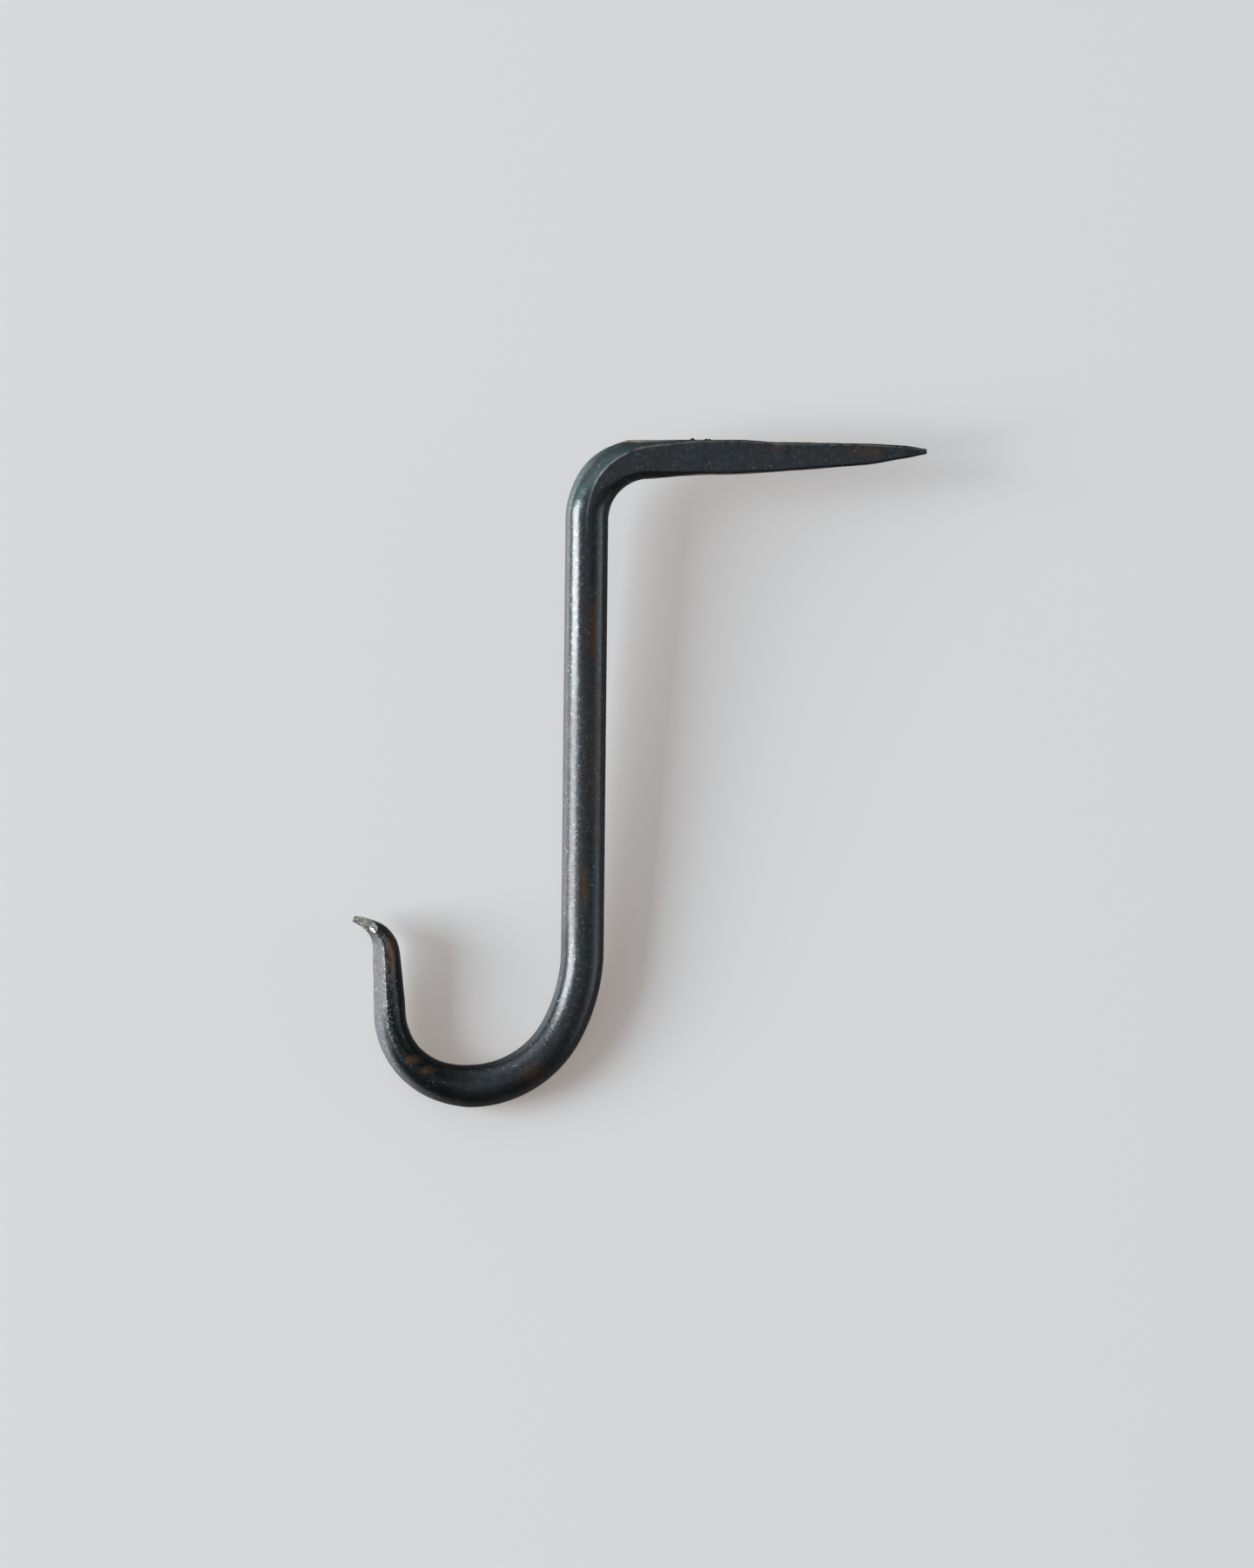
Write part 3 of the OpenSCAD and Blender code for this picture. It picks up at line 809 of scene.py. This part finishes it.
# %% Fine bumps
BUMP_DEPTH, BUMP_SHARE = 0.06 * MM, 0.75
CROSS_ACROSS = (1, 0.12, 0.12)
cross_at = vector(paint, "MULTIPLY", on_bar, CROSS_ACROSS)
cross_lines = cloud(0.28 * MM, detail=2.0, shift=18.0, at=cross_at)
peel = cloud(0.9 * MM, detail=2.0, shift=19.0)
bumps = fine * 0.8 + cross_lines * (0.2 + rippled_here * 1.2) + peel * 1.2 + file_lines * bare_here
calm = between(place_z, -75 * MM, -50 * MM) * 0.4
bumps = bumps * (1 - calm)
bump = add(paint, "ShaderNodeBump", Strength=BUMP_SHARE, Distance=BUMP_DEPTH, Height=bumps)
plug(paint, shader.inputs["Normal"], out(paint, bump, "Normal"))
print("the finish takes", len(paint.nodes), "nodes")

# %% [markdown]
# ## The finished skin
# The tree is run once and its result is kept as a plain mesh, so that whoever opens the hook later
# gets the shape itself and not a recipe that needs this version of Blender.

# %% Run the tree
modifier = hook.modifiers.new("skin", "NODES")
modifier.node_group = skin
named = {s.name: s.identifier for s in skin.interface.items_tree if s.in_out == "INPUT"}
modifier[named["Material"]] = steel
depsgraph = bpy.context.evaluated_depsgraph_get()
solid = bpy.data.meshes.new_from_object(hook.evaluated_get(depsgraph))
hook.modifiers.clear()
hook.data = solid
solid.calc_loop_triangles()
print("skin:", len(solid.vertices), "points,", len(solid.loop_triangles), "triangles")
print("kept on it:", [a.name for a in solid.attributes])

# %% Hand the hook over to the frame
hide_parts("beam_hook")
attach(hook, "root")
print(hook.name, "stands in for the solid and rides on its body")

# %% [markdown]
# ## The surface it lies on
# The hook keeps the frame it has on a beam, with its shank upright, so the pale surface it lies on
# is an upright sheet just behind it. The hook touches it at the foot of the bowl and stands off it
# at the spike, so the sheet is tilted and turned a little rather than the hook. It only shows from
# the front. From behind it is clear, and it lets every other ray through, so that light reaches the
# hook's back as well. Pale stone lets some light soak in and out again, so a shadow on it is never
# quite dark: a faint warm glow of its own stands for that.

# %% A pale sheet
SHEET_HALF = 3.0
SHEET_TILT, SHEET_TURN = math.radians(4.7), math.radians(-1.5)
SHEET_X, SHEET_Y, SHEET_Z = -8 * MM, 5.3 * MM, -148 * MM


def on_sheet(x, z):
    """The spot on the sheet behind x and z. It touches the hook at the foot of the bowl."""
    y = SHEET_Y + (z - SHEET_Z) * math.tan(SHEET_TILT) + (x - SHEET_X) * math.tan(SHEET_TURN)
    return x, y, z


sheet_mesh = bpy.data.meshes.new("pale_sheet")
sheet_sides = [(-1, 1), (-1, -1), (1, -1), (1, 1)]
sheet_corners = [on_sheet(across * SHEET_HALF, up * SHEET_HALF) for across, up in sheet_sides]
sheet_mesh.from_pydata(sheet_corners, [], [(0, 1, 2, 3)])
pale_sheet = bpy.data.objects.new("pale_sheet", sheet_mesh)
bpy.context.collection.objects.link(pale_sheet)
print("sheet faces", [round(c, 2) for c in sheet_mesh.polygons[0].normal])

# %% The sheet's colour
sheet_paint = bpy.data.materials.new("pale_surface")
sheet_paint.use_nodes = True
sheet_tree = sheet_paint.node_tree
sheet_tree.nodes.clear()
SHEET_COLOUR = (0.445, 0.512, 0.566)
SHEET_FILL = (0.262, 0.208, 0.17)
plain_pale = add(sheet_tree, "ShaderNodeBsdfDiffuse", Color=(*SHEET_COLOUR, 1))
fill = add(sheet_tree, "ShaderNodeEmission", Color=(*SHEET_FILL, 1), Strength=1.0)
pale = sheet_tree.nodes.new("ShaderNodeAddShader")
sheet_tree.links.new(plain_pale.outputs[0], pale.inputs[0])
sheet_tree.links.new(fill.outputs[0], pale.inputs[1])
clear = add(sheet_tree, "ShaderNodeBsdfTransparent")
light_path = sheet_tree.nodes.new("ShaderNodeLightPath")
geometry = sheet_tree.nodes.new("ShaderNodeNewGeometry")
seen = out(sheet_tree, light_path, "Is Camera Ray") * (1 - out(sheet_tree, geometry, "Backfacing"))
either = add(sheet_tree, "ShaderNodeMixShader")
plug(sheet_tree, either.inputs[0], seen)
sheet_tree.links.new(clear.outputs[0], either.inputs[1])
sheet_tree.links.new(pale.outputs[0], either.inputs[2])
sheet_out = sheet_tree.nodes.new("ShaderNodeOutputMaterial")
sheet_tree.links.new(either.outputs[0], sheet_out.inputs["Surface"])
sheet_mesh.materials.append(sheet_paint)
print("the sheet's colour is", SHEET_COLOUR, "and its own glow", SHEET_FILL)

# %% [markdown]
# ## Light
# A tall window stands low on the left, and the room round it is dim. The window is one large lamp,
# because a small one would draw hard shadows and a thin highlight. It gives much of the light on
# the pale surface, and the long soft highlight down the round bar.

# %% Window
DAYLIGHT = (1.0, 0.98, 0.955)
AIM = Vector((0, 0, -0.07))
UP = Vector((0, 0, 1))
WINDOW_RISE, WINDOW_SIDE, WINDOW_AWAY = math.radians(27.5), math.radians(2), 5.0
WINDOW_WIDE, WINDOW_HIGH, WINDOW_LEVEL = 2.6, 3.0, 12.7
light = bpy.data.lights.new("window", "AREA")
light.shape = "RECTANGLE"
light.size, light.size_y = WINDOW_WIDE, WINDOW_HIGH
light.energy = WINDOW_LEVEL * math.pi * WINDOW_WIDE * WINDOW_HIGH
light.color = DAYLIGHT
window = bpy.data.objects.new("window", light)
bpy.context.collection.objects.link(window)
window.visible_camera = False
print("window:", WINDOW_WIDE, "by", WINDOW_HIGH, "m,", round(light.energy), "W")

# %% Turn the window to the hook
level_part = math.cos(WINDOW_RISE)
toward = Vector((
    -level_part * math.cos(WINDOW_SIDE), -math.sin(WINDOW_RISE), level_part * math.sin(WINDOW_SIDE),
))
length_way = (UP - toward * toward.z).normalized()
turned = Matrix((length_way, toward.cross(length_way), toward)).transposed().to_4x4()
window.matrix_world = Matrix.Translation(AIM + toward * WINDOW_AWAY) @ turned
print("the window stands at", [round(c, 2) for c in window.matrix_world.translation])

# %% [markdown]
# The room gives the rest of the light, and all that the dark metal mirrors besides the window. It
# is a world whose brightness depends on the direction. In front of the surface it is dim, with
# soft brighter patches behind the viewer, to the left, to the right, above and high on the left.
# Behind the hook a ray would meet the pale surface, so there the glow is brightest where the
# window's light falls, on the left. What the camera sees past the sheet is plain.

# %% Room
SKY = (0.65, 0.66, 0.67)
ROOM_TINT, SURFACE_TINT = (0.86, 0.94, 1.0), (1.0, 0.97, 0.95)
DIM, BEHIND_VIEWER, LEFT_WALL, RIGHT_WALL, CEILING, HIGH_LEFT = 0.17, 0.28, 0.45, 1.5, 0.25, 1.2
SURFACE_DIM, SURFACE_LIT = 0.18, 4.6
world = bpy.data.worlds.new("room")
bpy.context.scene.world = world
world.use_nodes = True
room = world.node_tree
room.nodes.clear()
direction = add(room, "ShaderNodeSeparateXYZ")
room.links.new(room.nodes.new("ShaderNodeTexCoord").outputs["Generated"], direction.inputs[0])
dir_x, dir_y, dir_z = (out(room, direction, axis) for axis in "XYZ")
print("the world's light is measured by direction")

# %% How bright each way is
in_front = (dir_y * -8 + 1).clamped()
leftness = (dir_x * -0.5 + 0.5).clamped()
down = (dir_z * -1).clamped()
up_left = (dir_x * -0.62 + dir_y * -0.45 + dir_z * 0.64).clamped()
front_glow = DIM + BEHIND_VIEWER * (dir_y * -1).clamped().do("POWER", 8.0)
front_glow = front_glow + LEFT_WALL * leftness.do("POWER", 4.0)
front_glow = front_glow + RIGHT_WALL * dir_x.clamped().do("POWER", 10.0)
front_glow = front_glow + CEILING * dir_z.clamped().do("POWER", 12.0)
front_glow = (front_glow + HIGH_LEFT * up_left.do("POWER", 10.0)) * (1 - 0.5 * down)
lit_left = (dir_x * -1).clamped().do("POWER", 2.1) * (dir_y * 5 - 0.3).clamped()
surface_glow = SURFACE_DIM + SURFACE_LIT * lit_left
level = surface_glow.mix(front_glow, in_front)

# %% The world's shaders
glow_tint = tint(SURFACE_TINT, ROOM_TINT, in_front, room)
camera_ray = out(room, room.nodes.new("ShaderNodeLightPath"), "Is Camera Ray")
glow = add(room, "ShaderNodeBackground", Strength=level)
plug(room, glow.inputs["Color"], glow_tint)
plain = add(room, "ShaderNodeBackground")
plain.inputs["Color"].default_value = (*SKY, 1)
pick = add(room, "ShaderNodeMixShader")
plug(room, pick.inputs[0], camera_ray)
room.links.new(glow.outputs[0], pick.inputs[1])
room.links.new(plain.outputs[0], pick.inputs[2])
world_out = room.nodes.new("ShaderNodeOutputWorld")
room.links.new(pick.outputs[0], world_out.inputs["Surface"])
print("the room takes", len(room.nodes), "nodes")

# %% [markdown]
# ## Camera
# It looks square on at the hook from two metres away, through a long lens. A nearer camera would
# see the ends of the hook from the side, and a bar that comes forward would look thicker.

# %% Camera
VIEW_HIGH = 367.3 * MM
VIEW_X, VIEW_Z = 4.4 * MM, -76.8 * MM
CAMERA_AWAY = 2.0
SENSOR_WIDE = 36
camera = bpy.data.cameras.new("camera")
camera.sensor_width = SENSOR_WIDE
camera.lens = camera.sensor_width * CAMERA_AWAY / VIEW_HIGH
camera_object = bpy.data.objects.new("camera", camera)
camera_object.location = (VIEW_X, -CAMERA_AWAY, VIEW_Z)
camera_object.rotation_euler = (math.pi / 2, 0, 0)
bpy.context.collection.objects.link(camera_object)
bpy.context.scene.camera = camera_object
bpy.context.scene.view_settings.view_transform = "Standard"
print("lens:", round(camera.lens, 1), "mm")
